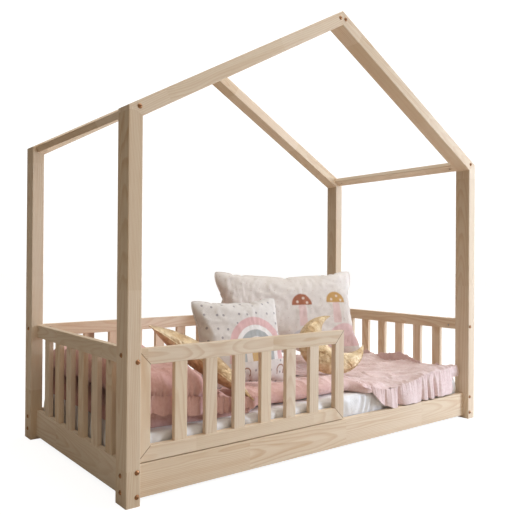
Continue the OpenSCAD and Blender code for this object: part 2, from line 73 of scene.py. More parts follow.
class Shader:
    """A material's nodes, added with short calls that return an output socket."""

    def __init__(self, name, **constants):
        self.material = bpy.data.materials.new(name)
        self.material.use_nodes = True
        self.tree = self.material.node_tree
        self.surface = self.tree.nodes["Principled BSDF"]
        for key, value in constants.items():
            self.surface.inputs[key.replace("_", " ")].default_value = value

    def fill(self, node, inputs):
        for key, value in dict(inputs).items():
            if isinstance(value, bpy.types.NodeSocket):
                self.tree.links.new(value, node.inputs[key])
            else:
                node.inputs[key].default_value = value

    def add(self, kind, inputs=(), out=0, **settings):
        node = self.tree.nodes.new("ShaderNode" + kind)
        for key, value in settings.items():
            setattr(node, key, value)
        self.fill(node, inputs)
        return node.outputs[out]

    def calc(self, operation, *values, clamp=False):
        return self.add("Math", enumerate(values), operation=operation, use_clamp=clamp)

    def noise(self, vector, scale, detail=2.0, rough=0.5, out=0):
        inputs = {"Vector": vector, "Scale": scale, "Detail": detail, "Roughness": rough}
        return self.add("TexNoise", inputs, out)

    def scaled(self, vector, scale, shift=(0, 0, 0)):
        return self.add("Mapping", {"Vector": vector, "Scale": scale, "Location": shift})

    def span(self, value, low, high, to_low=0.0, to_high=1.0, smooth=False):
        kind = "SMOOTHSTEP" if smooth else "LINEAR"
        inputs = enumerate((value, low, high, to_low, to_high))
        return self.add("MapRange", inputs, interpolation_type=kind)

    def mix(self, share, first, second, kind="MIX"):
        inputs = {0: share, 6: first, 7: second}
        return self.add("Mix", inputs, 2, data_type="RGBA", blend_type=kind)

    def ramp(self, value, stops):
        socket = self.add("ValToRGB", {0: value})
        elements = socket.node.color_ramp.elements
        while len(elements) < len(stops):
            elements.new(0.5)
        for element, (place, shade) in zip(elements, stops):
            element.position = place
            element.color = (shade, shade, shade, 1) if isinstance(shade, (int, float)) else shade
        return socket

    def xyz(self, vector):
        node = self.tree.nodes.new("ShaderNodeSeparateXYZ")
        self.tree.links.new(vector, node.inputs[0])
        return node.outputs

    def bump(self, height, distance, strength=1.0):
        inputs = {"Height": height, "Distance": distance, "Strength": strength}
        return self.add("Bump", inputs)

    def finish(self, color, roughness=None, normal=None):
        self.fill(self.surface, {"Base Color": color})
        if roughness is not None:
            self.fill(self.surface, {"Roughness": roughness})
        if normal is not None:
            self.fill(self.surface, {"Normal": normal})
        return self.material


# ---------- wood ----------

PINE_LIGHT = srgb(234, 215, 189)
PINE_LATE = srgb(203, 163, 120)
PINE_KNOT = srgb(126, 84, 50)
# The spacing of growth rings, the mean length between finger joints, and half a mitre line's width.
RING = 0.0046
BLOCK = 0.43
MITRE_HALF = 0.0009
BASE_SLAT_PITCH = 0.125
# How dark a growth ring is from its start to its end: a slow rise to the late wood, then a sharp fall.
LATE_WOOD = [(0.0, 0.0), (0.45, 0.12), (0.82, 1.0), (0.93, 0.75), (1.0, 0.0)]

GRAIN_TURN = {
    "x": Euler((0, 0, 0)),
    "y": Euler((0, 0, -math.pi / 2)),
    "z": Euler((0, math.pi / 2, 0)),
    "up": Euler((0, ROOF_ANGLE, 0)),
    "down": Euler((0, -ROOF_ANGLE, 0)),
}


def mitre_lines(s, place, color, corners):
    """Darkens a thin line along each mitre, from its outer corner to its inner one in X and Z."""
    x, _, z = s.xyz(place)
    for (outer_x, outer_z), (inner_x, inner_z) in corners:
        run = Vector((inner_x - outer_x, inner_z - outer_z)).normalized()
        aside = s.calc("MULTIPLY", s.calc("SUBTRACT", x, outer_x), run.y)
        above = s.calc("MULTIPLY", s.calc("SUBTRACT", z, outer_z), run.x)
        away = s.calc("ABSOLUTE", s.calc("SUBTRACT", aside, above))
        color = s.mix(s.span(away, MITRE_HALF, MITRE_HALF * 1.6, 0.75, 0), color, PINE_KNOT)
    return color


def guard_corners(name):
    """The mitres of one of the guard's four frame pieces."""
    top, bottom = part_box("guard_top_rail"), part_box("guard_bottom_rail")
    left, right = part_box("guard_left_stile"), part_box("guard_right_stile")
    sides = {"guard_left_stile": [(left[0].x, left[1].x)], "guard_right_stile": [(right[1].x, right[0].x)]}
    levels = {"guard_top_rail": [(top[1].z, top[0].z)], "guard_bottom_rail": [(bottom[0].z, bottom[1].z)]}
    both_sides = sides["guard_left_stile"] + sides["guard_right_stile"]
    both_levels = levels["guard_top_rail"] + levels["guard_bottom_rail"]
    return [((outer_x, outer_z), (inner_x, inner_z))
            for outer_x, inner_x in sides.get(name, both_sides)
            for outer_z, inner_z in levels.get(name, both_levels)]


def board_space(s, place, grain, middle, size):
    """Places in a board along its grain, away from its wider face and across that face. Also returns the
    place as one vector, with the grain along X."""
    turn = GRAIN_TURN[grain]
    matrix = turn.to_matrix()
    extent = [abs(v) for v in matrix @ Vector(size)]
    local = s.add("Mapping", {"Vector": place, "Rotation": turn, "Location": -(matrix @ Vector(middle))})
    along, side_y, side_z = s.xyz(local)
    flat_on_y = extent[1] <= extent[2]
    return local, along, (side_y if flat_on_y else side_z), (side_z if flat_on_y else side_y)


def log_number(s, place, along, rng, jointed, many):
    """A number for the log that a place is cut from: one for each glued length and each repeated solid."""
    length = BLOCK * rng.uniform(0.85, 1.2)
    block = s.calc("FLOOR", s.calc("MULTIPLY_ADD", along, 1 / length, rng.uniform(0, 9)))
    if not jointed:
        block = s.calc("MULTIPLY", block, 0.0)
    if many:
        cell = s.calc("FLOOR", s.calc("MULTIPLY_ADD", s.xyz(place)[0], 1 / many, 0.5 + 40.0))
        block = s.calc("ADD", block, s.calc("MULTIPLY", cell, 3.7))
    return block


def pine(name, grain, middle, size, seed, jointed=True, many=0.0, mitres=()):
    """Pine with its grain along one direction and the log's heart beside the board. jointed boards are
    glued up from finger-jointed lengths. many is the pitch of repeated solids along X."""
    rng = np.random.default_rng(seed)
    s = Shader(name, IOR=1.48)
    place = s.add("TexCoord", out="Object")
    local, along, depth_from, across = board_space(s, place, grain, middle, size)
    log = log_number(s, place, along, rng, jointed, many)
    chance = s.add("TexWhiteNoise", {"W": s.calc("ADD", log, float(seed))}, 1, noise_dimensions="1D")
    draw = s.xyz(chance)
    stretched = s.scaled(local, (1.7, 9.0, 9.0), tuple(rng.uniform(-20, 20, 3)))
    drift = s.add("VectorMath", {0: stretched, 1: chance}, operation="ADD")
    sway = s.noise(drift, 1.0, 2.5, 0.55)
    # The distance from the log's heart, which lies aslant behind the board.
    heart_depth = s.span(draw[0], 0, 1, 0.03, 0.13)
    heart_side = s.span(draw[1], 0, 1, -0.035, 0.035)
    slope = s.span(draw[2], 0, 1, -0.055, 0.055)
    from_heart = s.calc("ADD", s.calc("ADD", depth_from, heart_depth), s.calc("MULTIPLY", along, slope))
    beside = s.calc("ADD", across, heart_side)
    radius = s.calc("SQRT", s.calc("ADD", s.calc("POWER", from_heart, 2.0), s.calc("POWER", beside, 2.0)))
    wobble = s.calc("MULTIPLY", s.calc("SUBTRACT", sway, 0.5), 0.021)
    # A knot bends the rings around it.
    knot_cells = s.scaled(local, (2.1, 6.5, 3.0), tuple(rng.uniform(-30, 30, 3)))
    knot_far = s.add("TexVoronoi", {"Vector": knot_cells, "Scale": 1.0}, 0)
    knot_core = s.span(knot_far, 0.045, 0.105, 1, 0, smooth=True)
    knot_pull = s.span(knot_far, 0.05, 0.32, 1, 0, smooth=True)
    ringed = s.calc("ADD", radius, s.calc("ADD", wobble, s.calc("MULTIPLY", knot_pull, 0.012)))
    fraction = s.calc("FRACT", s.calc("MULTIPLY", ringed, 1 / RING))
    late = s.ramp(fraction, LATE_WOOD)
    # Fibres, streaks and cloudy patches along the grain.
    fibre = s.noise(s.scaled(local, (26, 900, 900)), 1.0, 3, 0.65)
    streak = s.noise(s.scaled(local, (2.4, 70, 70), tuple(rng.uniform(0, 9, 3))), 1.0, 3, 0.6)
    cloud = s.noise(s.scaled(local, (1.6, 7, 7), tuple(rng.uniform(0, 9, 3))), 1.0, 2)
    amount = s.calc("MULTIPLY", late, s.span(cloud, 0.3, 0.7, 0.16, 0.5))
    amount = s.calc("ADD", amount, s.span(fibre, 0.3, 0.7, -0.04, 0.1))
    amount = s.calc("ADD", amount, s.span(streak, 0.45, 0.75, 0.0, 0.26), clamp=True)
    color = s.mix(amount, PINE_LIGHT, PINE_LATE)
    # Each log has its own brightness and warmth.
    tone = s.add("TexWhiteNoise", {"W": s.calc("ADD", log, seed + 0.37)}, 0, noise_dimensions="1D")
    low_tone = 0.9 if jointed else 0.95
    bright = s.calc("MULTIPLY", s.span(tone, 0, 1, low_tone, 1.03), rng.uniform(0.93, 1.04))
    vivid = s.span(tone, 0, 1, 1.12, 0.92)
    warm = s.add("HueSaturation", {"Color": color, "Value": bright, "Saturation": vivid})
    color = s.mix(s.calc("MULTIPLY", knot_core, 0.8), warm, PINE_KNOT)
    color = mitre_lines(s, place, color, mitres)
    height = s.calc("ADD", s.calc("MULTIPLY", late, 0.5), s.calc("MULTIPLY", fibre, 0.6))
    rough = s.span(s.calc("ADD", late, fibre), 0.2, 1.6, 0.66, 0.5)
    return s.finish(color, rough, s.bump(height, 0.0004, 0.55))


BRONZE, BRONZE_WORN = srgb(196, 148, 108), srgb(132, 92, 64)
ZINC, ZINC_WORN = srgb(196, 198, 202), srgb(150, 152, 156)


def metal(name, color, wear, rough):
    """Plated steel, spotted with its worn colour and lightly scratched."""
    s = Shader(name, Metallic=1.0)
    place = s.add("TexCoord", out="Object")
    spots = s.noise(place, 260, 4, 0.7)
    scratch = s.noise(s.scaled(place, (900, 120, 300)), 1.0, 3)
    tint = s.mix(s.span(spots, 0.35, 0.7), color, wear)
    matt = s.span(scratch, 0.3, 0.7, rough - 0.08, rough + 0.14)
    return s.finish(tint, matt, s.bump(scratch, 0.0001, 0.5))


def beech(name):
    """Beech with short dark flecks, upright."""
    s = Shader(name, IOR=1.48)
    place = s.add("TexCoord", out="Object")
    flecks = s.noise(s.scaled(place, (700, 700, 90)), 1.0, 3, 0.6)
    color = s.mix(s.span(flecks, 0.35, 0.7), srgb(214, 172, 126), srgb(176, 126, 82))
    return s.finish(color, 0.6, s.bump(flecks, 0.0003, 0.5))


def strap(name):
    """Undyed woven tape."""
    s = Shader(name, Sheen_Weight=0.15)
    place = s.add("TexCoord", out="Object")
    herring = s.add("TexWave", {"Vector": place, "Scale": 160.0, "Distortion": 1.5}, 1)
    color = s.mix(herring, srgb(226, 220, 205), srgb(198, 190, 172))
    return s.finish(color, 0.85, s.bump(herring, 0.0004, 0.7))


SOFT_NODES = ["mattress", "fitted_sheet", "quilt", "pillow", "square_cushion",
              "small_moon_cushion", "large_moon_cushion"]


def dress_frame():
    """Gives every CAD node that stays its own finish."""
    grains = {"ridge_beam": "y", "eave_beam_left": "y", "eave_beam_right": "y", "base_slats": "y",
              "left_low_rail": "y", "right_low_rail": "y", "left_top_rail": "y", "right_top_rail": "y",
              "back_slats": "z", "guard_left_stile": "z", "guard_right_stile": "z"}
    finishes = {
        "side_bolts": metal("bronzed_steel_side", BRONZE, BRONZE_WORN, 0.34),
        "end_bolts": metal("bronzed_steel_end", BRONZE, BRONZE_WORN, 0.34),
        "roof_bolts": metal("bronzed_steel_roof", BRONZE, BRONZE_WORN, 0.34),
        "barrel_nuts": metal("zinc_nuts", ZINC, ZINC_WORN, 0.35),
        "base_screws": metal("zinc_screws", ZINC, ZINC_WORN, 0.35),
        "roof_dowels": beech("beech_roof_dowels"),
        "guard_dowels": beech("beech_guard_dowels"),
        "base_straps": strap("woven_strap"),
    }
    slat_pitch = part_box("guard_slat_2")[0].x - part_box("guard_slat_1")[0].x
    for seed, (name, piece) in enumerate(sorted(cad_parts.items())):
        if name in SOFT_NODES:
            continue
        if name not in finishes:
            low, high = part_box(name)
            grain = grains.get(name, "z" if "slat" in name or "post" in name else "x")
            if name.startswith("rafter"):
                grain = "up" if name.endswith("left") else "down"
            jointed = "slat" not in name and "stile" not in name
            many = {"back_slats": slat_pitch, "base_slats": BASE_SLAT_PITCH}.get(name, 0.0)
            mitres = guard_corners(name) if name.startswith("guard") and "slat" not in name else ()
            finishes[name] = pine("pine_" + name, grain, (low + high) / 2, high - low, seed + 3,
                                  jointed, many, mitres)
        piece.data.materials.clear()
        piece.data.materials.append(finishes[name])

# ---------- camera, light and floor ----------

# The camera's turn is from +Y towards +X.
CAMERA_PLACE = Vector((-1.612, -2.020, 0.699))
CAMERA_TURN = math.radians(37.891)
CAMERA_RISE = math.radians(0.285)
CAMERA_ROLL = math.radians(0.381)
CAMERA_LENS = 42.68


def make_camera():
    data = bpy.data.cameras.new("camera")
    data.lens = CAMERA_LENS
    data.sensor_width = 36
    data.clip_end = 200
    forward = Vector((math.sin(CAMERA_TURN) * math.cos(CAMERA_RISE),
                      math.cos(CAMERA_TURN) * math.cos(CAMERA_RISE), math.sin(CAMERA_RISE)))
    level = Vector((math.cos(CAMERA_TURN), -math.sin(CAMERA_TURN), 0))
    upright = level.cross(forward)
    side = level * math.cos(CAMERA_ROLL) + upright * math.sin(CAMERA_ROLL)
    top = -level * math.sin(CAMERA_ROLL) + upright * math.cos(CAMERA_ROLL)
    facing = Matrix((side, top, -forward)).transposed().to_4x4()
    camera = bpy.data.objects.new("camera", data)
    camera.matrix_world = Matrix.Translation(CAMERA_PLACE) @ facing
    SCENE.collection.objects.link(camera)
    SCENE.camera = camera


def make_area(name, place, aim, size, power, color):
    data = bpy.data.lights.new(name, "AREA")
    data.shape = "SQUARE"
    data.size = size
    data.energy = power
    data.color = color
    lamp = bpy.data.objects.new(name, data)
    lamp.location = place
    lamp.rotation_euler = (Vector(aim) - Vector(place)).to_track_quat("-Z", "Y").to_euler()
    SCENE.collection.objects.link(lamp)


SUN_SIDE = Vector((0.62, -0.42, 0.66)).normalized()


def make_world(low, high, seen):
    """A soft sky, brightest above the bed's front right and dim at its left. The camera sees it white."""
    world = bpy.data.worlds.new("studio")
    world.use_nodes = True
    nodes, links = world.node_tree.nodes, world.node_tree.links
    way = nodes.new("ShaderNodeTexCoord")
    toward = nodes.new("ShaderNodeVectorMath")
    toward.operation = "DOT_PRODUCT"
    toward.inputs[1].default_value = SUN_SIDE
    level = nodes.new("ShaderNodeMapRange")
    for key, value in {"From Min": -0.5, "From Max": 1.0, "To Min": low, "To Max": high}.items():
        level.inputs[key].default_value = value
    lit = nodes["Background"]
    lit.inputs["Color"].default_value = (1.0, 0.91, 0.81, 1)
    white = nodes.new("ShaderNodeBackground")
    white.inputs["Color"].default_value = (1, 1, 1, 1)
    white.inputs["Strength"].default_value = seen
    path = nodes.new("ShaderNodeLightPath")
    either = nodes.new("ShaderNodeMixShader")
    links.new(way.outputs["Generated"], toward.inputs[0])
    links.new(toward.outputs["Value"], level.inputs["Value"])
    links.new(level.outputs[0], lit.inputs["Strength"])
    links.new(path.outputs["Is Camera Ray"], either.inputs[0])
    links.new(lit.outputs[0], either.inputs[1])
    links.new(white.outputs[0], either.inputs[2])
    links.new(either.outputs[0], nodes["World Output"].inputs[0])
    SCENE.world = world


FLOOR_REACH = 30
# The strength of the floor's glow, and the share of it in what the camera sees.
FLOOR_GLOW = 1.66
FLOOR_GLOW_SHARE = 0.55


def make_floor():
    """A pale floor that looks nearly white, with a faint shadow below the bed."""
    mesh = bpy.data.meshes.new("floor")
    corners = [(x * FLOOR_REACH, y * FLOOR_REACH, 0) for x, y in ((-1, -1), (1, -1), (1, 1), (-1, 1))]
    mesh.from_pydata(corners, [], [(0, 1, 2, 3)])
    floor = bpy.data.objects.new("floor", mesh)
    SCENE.collection.objects.link(floor)
    s = Shader("pale_floor")
    place = s.add("TexCoord", out="Object")
    mottle = s.noise(place, 6.0, 4)
    tint = s.mix(s.span(mottle, 0.3, 0.7), srgb(206, 198, 188), srgb(212, 205, 196))
    material = s.finish(tint, 0.9, s.bump(mottle, 0.002, 0.1))
    glow = s.add("Emission", {"Color": (1, 1, 1, 1), "Strength": FLOOR_GLOW})
    seen = s.calc("MULTIPLY", s.add("LightPath"), FLOOR_GLOW_SHARE)
    both = s.add("MixShader", {0: seen, 1: s.surface.outputs[0], 2: glow})
    s.tree.links.new(both, s.tree.nodes["Material Output"].inputs[0])
    mesh.materials.append(material)


def make_studio():
    make_world(0.10, 0.62, 1.15)
    make_area("window", (2.6, -2.5, 1.4), (0.8, -0.2, 0.4), 1.2, 62, (0.84, 0.98, 1.18))
    make_area("ceiling", (0.7, -0.3, 4.2), (0.3, 0.0, 0.4), 3.4, 84, (0.97, 0.99, 1.0))
    make_area("rake", (3.1, 1.3, 1.35), (0.4, 0.0, 0.25), 0.7, 30, (0.95, 0.98, 1.04))
    make_area("low_bounce", (1.9, -1.8, 0.14), (0.85, -0.4, 0.25), 0.7, 8, (0.74, 0.95, 1.36))
    SCENE.view_settings.view_transform = "Standard"
    make_floor()


# ---------- mesh building ----------


def quads(index):
    """The quads between the neighbours in a grid of point indices."""
    return np.stack([index[:-1, :-1], index[1:, :-1], index[1:, 1:], index[:-1, 1:]], -1).reshape(-1, 4)


def rim(index):
    """The loop around the edge of a grid of point indices."""
    return np.concatenate([index[:-1, 0], index[-1, :-1], index[::-1, -1][:-1], index[0, ::-1][:-1]])


def shares(rows, columns):
    """Two grids that run from -1 to 1: one down the rows and one along the columns."""
    return np.meshgrid(np.linspace(-1, 1, rows), np.linspace(-1, 1, columns), indexing="ij")


def lattice(rows, columns, round_rows=False, round_columns=False):
    """The quads of a grid of points, joined end to end where a direction is round."""
    index = np.arange(rows * columns).reshape(rows, columns)
    if round_rows:
        index = np.vstack([index, index[:1]])
    if round_columns:
        index = np.hstack([index, index[:, :1]])
    return quads(index)


def make_piece(name, points, faces, material, uvs=None):
    """A smooth-shaded mesh. uvs holds one pair for each point."""
    mesh = bpy.data.meshes.new(name)
    corners = [list(map(int, face)) for face in faces]
    mesh.from_pydata(np.asarray(points, float).reshape(-1, 3).tolist(), [], corners)
    mesh.polygons.foreach_set("use_smooth", [True] * len(mesh.polygons))
    if uvs is not None:
        corner = np.zeros(len(mesh.loops), int)
        mesh.loops.foreach_get("vertex_index", corner)
        mesh.uv_layers.new(name="UVMap").data.foreach_set("uv", np.asarray(uvs)[corner].ravel())
    mesh.materials.append(material)
    piece = bpy.data.objects.new(name, mesh)
    SCENE.collection.objects.link(piece)
    return piece


def waves(points, size, seed, count=16):
    """Smooth noise of about unit height: a sum of plane waves with lengths near size."""
    rng = np.random.default_rng(seed)
    ways = rng.normal(size=(count, points.shape[-1]))
    ways /= np.linalg.norm(ways, axis=1, keepdims=True)
    turns = TAU / (size * rng.uniform(0.7, 1.6, count))
    phase = rng.uniform(0, TAU, count)
    return np.sin(points @ (ways * turns[:, None]).T + phase).sum(-1) * math.sqrt(2 / count)


def ridges(points, size, seed):
    """Creases: sharp tops where smooth noise crosses zero, from 0 to 1."""
    return np.exp(-3.0 * np.abs(waves(points, size, seed)))


def ease(value, low, high):
    """0 below low and 1 above high, with a smooth rise between."""
    t = np.clip((value - low) / (high - low), 0, 1)
    return t * t * (3 - 2 * t)


def set_points(piece, points):
    piece.data.vertices.foreach_set("co", np.asarray(points, np.float32).ravel())
    piece.data.update()


def get_points(mesh):
    co = np.zeros(len(mesh.vertices) * 3, np.float32)
    mesh.vertices.foreach_get("co", co)
    return co.reshape(-1, 3).astype(float)


PRESSURE = 5.0


def inflate(piece, frames):
    """Blows a closed cloth mesh up from within and keeps the shape."""
    cloth = piece.modifiers.new("blown", "CLOTH")
    cloth.settings.use_pressure = True
    cloth.settings.uniform_pressure_force = PRESSURE
    cloth.settings.effector_weights.gravity = 0
    cloth.settings.quality = 5
    cloth.settings.mass = 0.3
    cloth.settings.tension_stiffness = 20
    cloth.settings.compression_stiffness = 20
    cloth.settings.shear_stiffness = 6
    cloth.settings.bending_stiffness = 0.4
    cloth.collision_settings.use_collision = False
    cloth.point_cache.frame_start = 1
    cloth.point_cache.frame_end = frames
    for step in range(1, frames + 1):
        SCENE.frame_set(step)
    blown = bpy.data.meshes.new_from_object(piece.evaluated_get(bpy.context.evaluated_depsgraph_get()))
    piece.modifiers.clear()
    set_points(piece, get_points(blown))
    bpy.data.meshes.remove(blown)
    SCENE.frame_set(1)


# ---------- stuffed cushions ----------

# The share of its full thickness that a cushion is blown up from.
START_PUFF = 0.4
BEAD_SIDES = 6
EAR_ROUND = 0.035
# Squeezes a panel's points along a diagonal, so that creases run that way.
DIAGONAL = np.array([[0.75, 0.2], [-0.65, 0.22]])


def two_panels(outline_grid, thickness):
    """A closed cushion mesh from a flat grid of points, shape (rows, columns, 2): a front and a back
    panel that share the seam around the edge. Returns points, faces and the seam's loop of indices."""
    rows, columns = outline_grid.shape[:2]
    front = np.arange(rows * columns).reshape(rows, columns)
    back = front.copy()
    inner = np.arange((rows - 2) * (columns - 2)).reshape(rows - 2, columns - 2)
    back[1:-1, 1:-1] = rows * columns + inner
    u, v = shares(rows, columns)
    breadth = np.linalg.norm(outline_grid[:, -1] - outline_grid[:, 0], axis=1)[:, None]
    rise = thickness / 2 * breadth / breadth.max() * np.sqrt(np.clip((1 - u ** 2) * (1 - v ** 2), 0, 1))
    flat = np.concatenate([outline_grid, rise[..., None]], -1)
    under = flat[1:-1, 1:-1] * np.array([1, 1, -1])
    points = np.concatenate([flat.reshape(-1, 3), under.reshape(-1, 3)])
    return points, np.concatenate([quads(front), quads(back)[:, ::-1]]), rim(front)


def tube(path, radius):
    """A round bead along a closed path."""
    ahead = np.roll(path, -1, 0) - np.roll(path, 1, 0)
    ahead /= np.linalg.norm(ahead, axis=1, keepdims=True) + 1e-12
    lift = np.cross(ahead, [0.123, 0.456, 0.881])
    lift /= np.linalg.norm(lift, axis=1, keepdims=True) + 1e-12
    aside = np.cross(ahead, lift)
    angle = np.arange(BEAD_SIDES) * TAU / BEAD_SIDES
    ring = path[:, None] + radius * (np.cos(angle)[None, :, None] * lift[:, None]
                                     + np.sin(angle)[None, :, None] * aside[:, None])
    return ring.reshape(-1, 3), lattice(len(path), BEAD_SIDES, True, True)


def stuffed(name, grid, thickness, material, node, body, turn, drawn, swollen, frames, bead,
            wrinkle=0.0):
    """A cushion sewn from two panels, blown up, brought to its solid's thickness and set in place.
    drawn is how much of the sides' pulling in is kept, and swollen how much of the blown shape's swelling.
    bead is the seam's radius, and wrinkle the height of the creases."""
    points, faces, seam = two_panels(grid, thickness * START_PUFF)
    flat_size = np.ptp(grid.reshape(-1, 2), axis=0)
    uvs = points[:, :2] / flat_size.max()
    piece = make_piece(name, points, faces, material, uvs)
    inflate(piece, frames)
    blown = get_points(piece.data)
    blown[:, 2] -= (blown[:, 2].max() + blown[:, 2].min()) / 2
    plain = points * np.array([1, 1, 1 / START_PUFF])
    blown[:, 2] *= thickness / np.ptp(blown[:, 2])
    for axis in (0, 1):
        blown[:, axis] *= flat_size[axis] / np.ptp(blown[:, axis])
    points = plain + (blown - plain) * np.array([drawn, drawn, swollen])
    inside = np.clip(np.abs(points[:, 2]) / thickness * 5, 0, 1)
    drift = points[:, :2] + 0.03 * waves(points[:, :2], 0.2, 71)[:, None]
    fall = ridges(drift * np.array([1, 0.22]), 0.045, 72) + 0.7 * ridges(drift @ DIAGONAL, 0.05, 73)
    points[:, 2] += np.sign(points[:, 2]) * wrinkle * inside * (fall - 0.5)
    bead_points, bead_faces = tube(points[seam], bead)
    turned = np.array(turn).T
    all_points = np.concatenate([points, bead_points]) @ turned
    low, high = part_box(node)
    stood = plain @ turned
    all_points += np.array((low + high) / 2) - (stood.max(0) + stood.min(0)) / 2
    all_faces = np.concatenate([faces, bead_faces + len(points)])
    bead_uvs = np.repeat(uvs[seam], BEAD_SIDES, axis=0)
    bpy.data.objects.remove(piece)
    piece = make_piece(name, all_points, all_faces, material, np.concatenate([uvs, bead_uvs]))
    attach(piece, body)
    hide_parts(node)
    return piece



def panel_grid(width, height, rows, columns, pull):
    """A rectangular panel whose sides pull in between its rounded corners by pull."""
    u, v = shares(rows, columns)
    x = u * (width / 2 - pull * (1 - v ** 2) * u ** 2)
    y = v * (height / 2 - pull * (1 - u ** 2) * v ** 2)
    corner = 1 - EAR_ROUND * (u * v) ** 8
    return np.stack([x * corner, y * corner], -1)


def crescent_grid(outer_r, inner_r, shift, rows, columns):
    """A crescent panel with its horns towards +X, from horn to horn and from its inner to its outer edge."""
    cross_x = (shift ** 2 + outer_r ** 2 - inner_r ** 2) / (2 * shift)
    reach = math.acos(cross_x / outer_r)
    inner_reach = math.acos(max(-1.0, min(1.0, (cross_x - shift) / inner_r)))
    run = np.linspace(-0.996, 0.996, rows)[:, None]
    outer_angle = math.pi - run * (math.pi - reach)
    inner_angle = math.pi - run * (math.pi - inner_reach)
    outer = np.stack([outer_r * np.cos(outer_angle), outer_r * np.sin(outer_angle)], -1)
    inner = np.stack([shift + inner_r * np.cos(inner_angle), inner_r * np.sin(inner_angle)], -1)
    share = np.linspace(0, 1, columns)[None, :, None]
    return inner * (1 - share) + outer * share


# ---------- fabrics ----------


def woven(s, place, pitch, strength):
    """The height of a plain weave: two sets of threads."""
    warp = s.add("TexWave", {"Vector": place, "Scale": 1 / pitch, "Distortion": 0.6}, 1, bands_direction="X")
    weft = s.add("TexWave", {"Vector": place, "Scale": 1 / pitch, "Distortion": 0.6}, 1, bands_direction="Z")
    return s.calc("MULTIPLY", s.calc("ADD", warp, weft), strength)


def crinkled(name, light, dark, crinkle, deep):
    """Washed double-gauze cotton: small puckers over a fine weave, with painted shade in the puckers'
    hollows. It is a deeper colour, multiplied by deep, towards the bed's left: painted shade."""
    s = Shader(name, Sheen_Weight=0.25, Sheen_Roughness=0.5, IOR=1.4)
    place = s.add("TexCoord", out="Object")
    pucker = s.noise(place, 1 / crinkle, 3, 0.6)
    long = s.noise(s.scaled(place, (1, 0.45, 0.6)), 0.5 / crinkle, 2, 0.5)
    weave = woven(s, place, 0.004, 0.08)
    cloud = s.noise(place, 5, 3)
    height = s.calc("ADD", s.calc("ADD", pucker, s.calc("MULTIPLY", long, 0.8)), weave)
    # Painted shade: the puckers' hollows take the dark colour and their tops the light one, mixed with random
    # clouding.
    shade = s.calc("ADD", s.span(pucker, 0.3, 0.7, 0, 0.65), s.span(cloud, 0.3, 0.7, 0, 0.35))
    pale = s.mix(shade, dark, light)
    # Painted shade: a deeper tint multiplied in towards the bed's left, where the quilt lies in shade.
    left_shade_share = s.span(s.xyz(place)[0], CORNER.x + 0.6, CORNER.x + 1.3, 1, 0, smooth=True)
    return s.finish(s.mix(left_shade_share, pale, deep, "MULTIPLY"), 0.9, s.bump(height, 0.0016, 0.9))


def smooth_cotton(name, light, dark):
    """Plain cotton with a fine weave and faint clouding."""
    s = Shader(name, Sheen_Weight=0.2, Sheen_Roughness=0.5, IOR=1.4)
    place = s.add("TexCoord", out="Object")
    soft = s.noise(place, 22, 4, 0.6)
    weave = woven(s, place, 0.0035, 0.15)
    height = s.calc("ADD", soft, weave)
    return s.finish(s.mix(s.span(soft, 0.3, 0.7), dark, light), 0.88, s.bump(height, 0.0012, 0.6))


def gold_cloth(name):
    """Thin metallised fabric with sharp creases."""
    s = Shader(name, Metallic=0.6, Sheen_Weight=0.1)
    place = s.add("TexCoord", out="Object")
    warp = s.noise(place, 34, 2, 0.5, out=1)
    moved = s.add("VectorMath", {0: place, 1: s.scaled(warp, (0.03, 0.03, 0.03))}, operation="ADD")
    fold = s.add("TexVoronoi", {"Vector": moved, "Scale": 62.0}, 0, feature="SMOOTH_F1")
    fine = s.noise(moved, 150, 3, 0.6)
    cloud = s.noise(place, 30, 3)
    height = s.calc("ADD", fold, s.calc("MULTIPLY", fine, 0.4))
    color = s.mix(s.span(cloud, 0.35, 0.65), srgb(196, 164, 122), srgb(228, 206, 168))
    grain = s.noise(place, 900, 2)
    return s.finish(color, s.span(grain, 0.3, 0.7, 0.42, 0.56), s.bump(height, 0.008, 0.8))


PRINT_EDGE = 0.004


def disc(s, x, y, centre_x, centre_y, radius, legs=False):
    """1 inside a circle on the panel, 0 outside it. With legs it runs straight down below its centre."""
    away_x = s.calc("SUBTRACT", x, centre_x)
    away_y = s.calc("SUBTRACT", y, centre_y)
    if legs:
        away_y = s.calc("MAXIMUM", away_y, 0.0)
    squares = s.calc("ADD", s.calc("MULTIPLY", away_x, away_x), s.calc("MULTIPLY", away_y, away_y))
    return s.span(s.calc("SQRT", squares), radius - PRINT_EDGE, radius + PRINT_EDGE, 1, 0)


def arch(s, x, y, centre_x, centre_y, outer, inner, foot, legs=False):
    """1 in a rainbow band above its foot line."""
    ring = disc(s, x, y, centre_x, centre_y, outer, legs=legs)
    if inner:
        ring = s.calc("SUBTRACT", ring, disc(s, x, y, centre_x, centre_y, inner, legs=legs))
    return s.calc("MULTIPLY", ring, s.span(y, foot - 0.003, foot + 0.003, 0, 1))


def dots(s, x, y, pitch, radius, seed):
    """Small scattered dots: one near the middle of each cell of a grid."""
    where = s.add("CombineXYZ", {0: s.calc("MULTIPLY", x, 1 / pitch), 1: s.calc("MULTIPLY", y, 1 / pitch),
                                 2: float(seed)})
    far = s.add("TexVoronoi", {"Vector": where, "Scale": 1.0, "Randomness": 0.55}, 0, voronoi_dimensions="2D")
    return s.span(far, radius / pitch * 0.85, radius / pitch * 1.15, 1, 0)


def print_base(name, light, dark):
    """Printed cotton before its print: the shader, the place on the panel, the ground colour and the bump."""
    s = Shader(name, Sheen_Weight=0.2, Sheen_Roughness=0.5, IOR=1.4)
    place = s.add("TexCoord", out="Object")
    x, y, _ = s.xyz(s.add("TexCoord", out="UV"))
    soft = s.noise(place, 24, 4, 0.6)
    height = s.calc("ADD", soft, woven(s, place, 0.0035, 0.15))
    ground = s.mix(s.span(soft, 0.3, 0.7), dark, light)
    return s, x, y, ground, s.bump(height, 0.0007, 0.6)


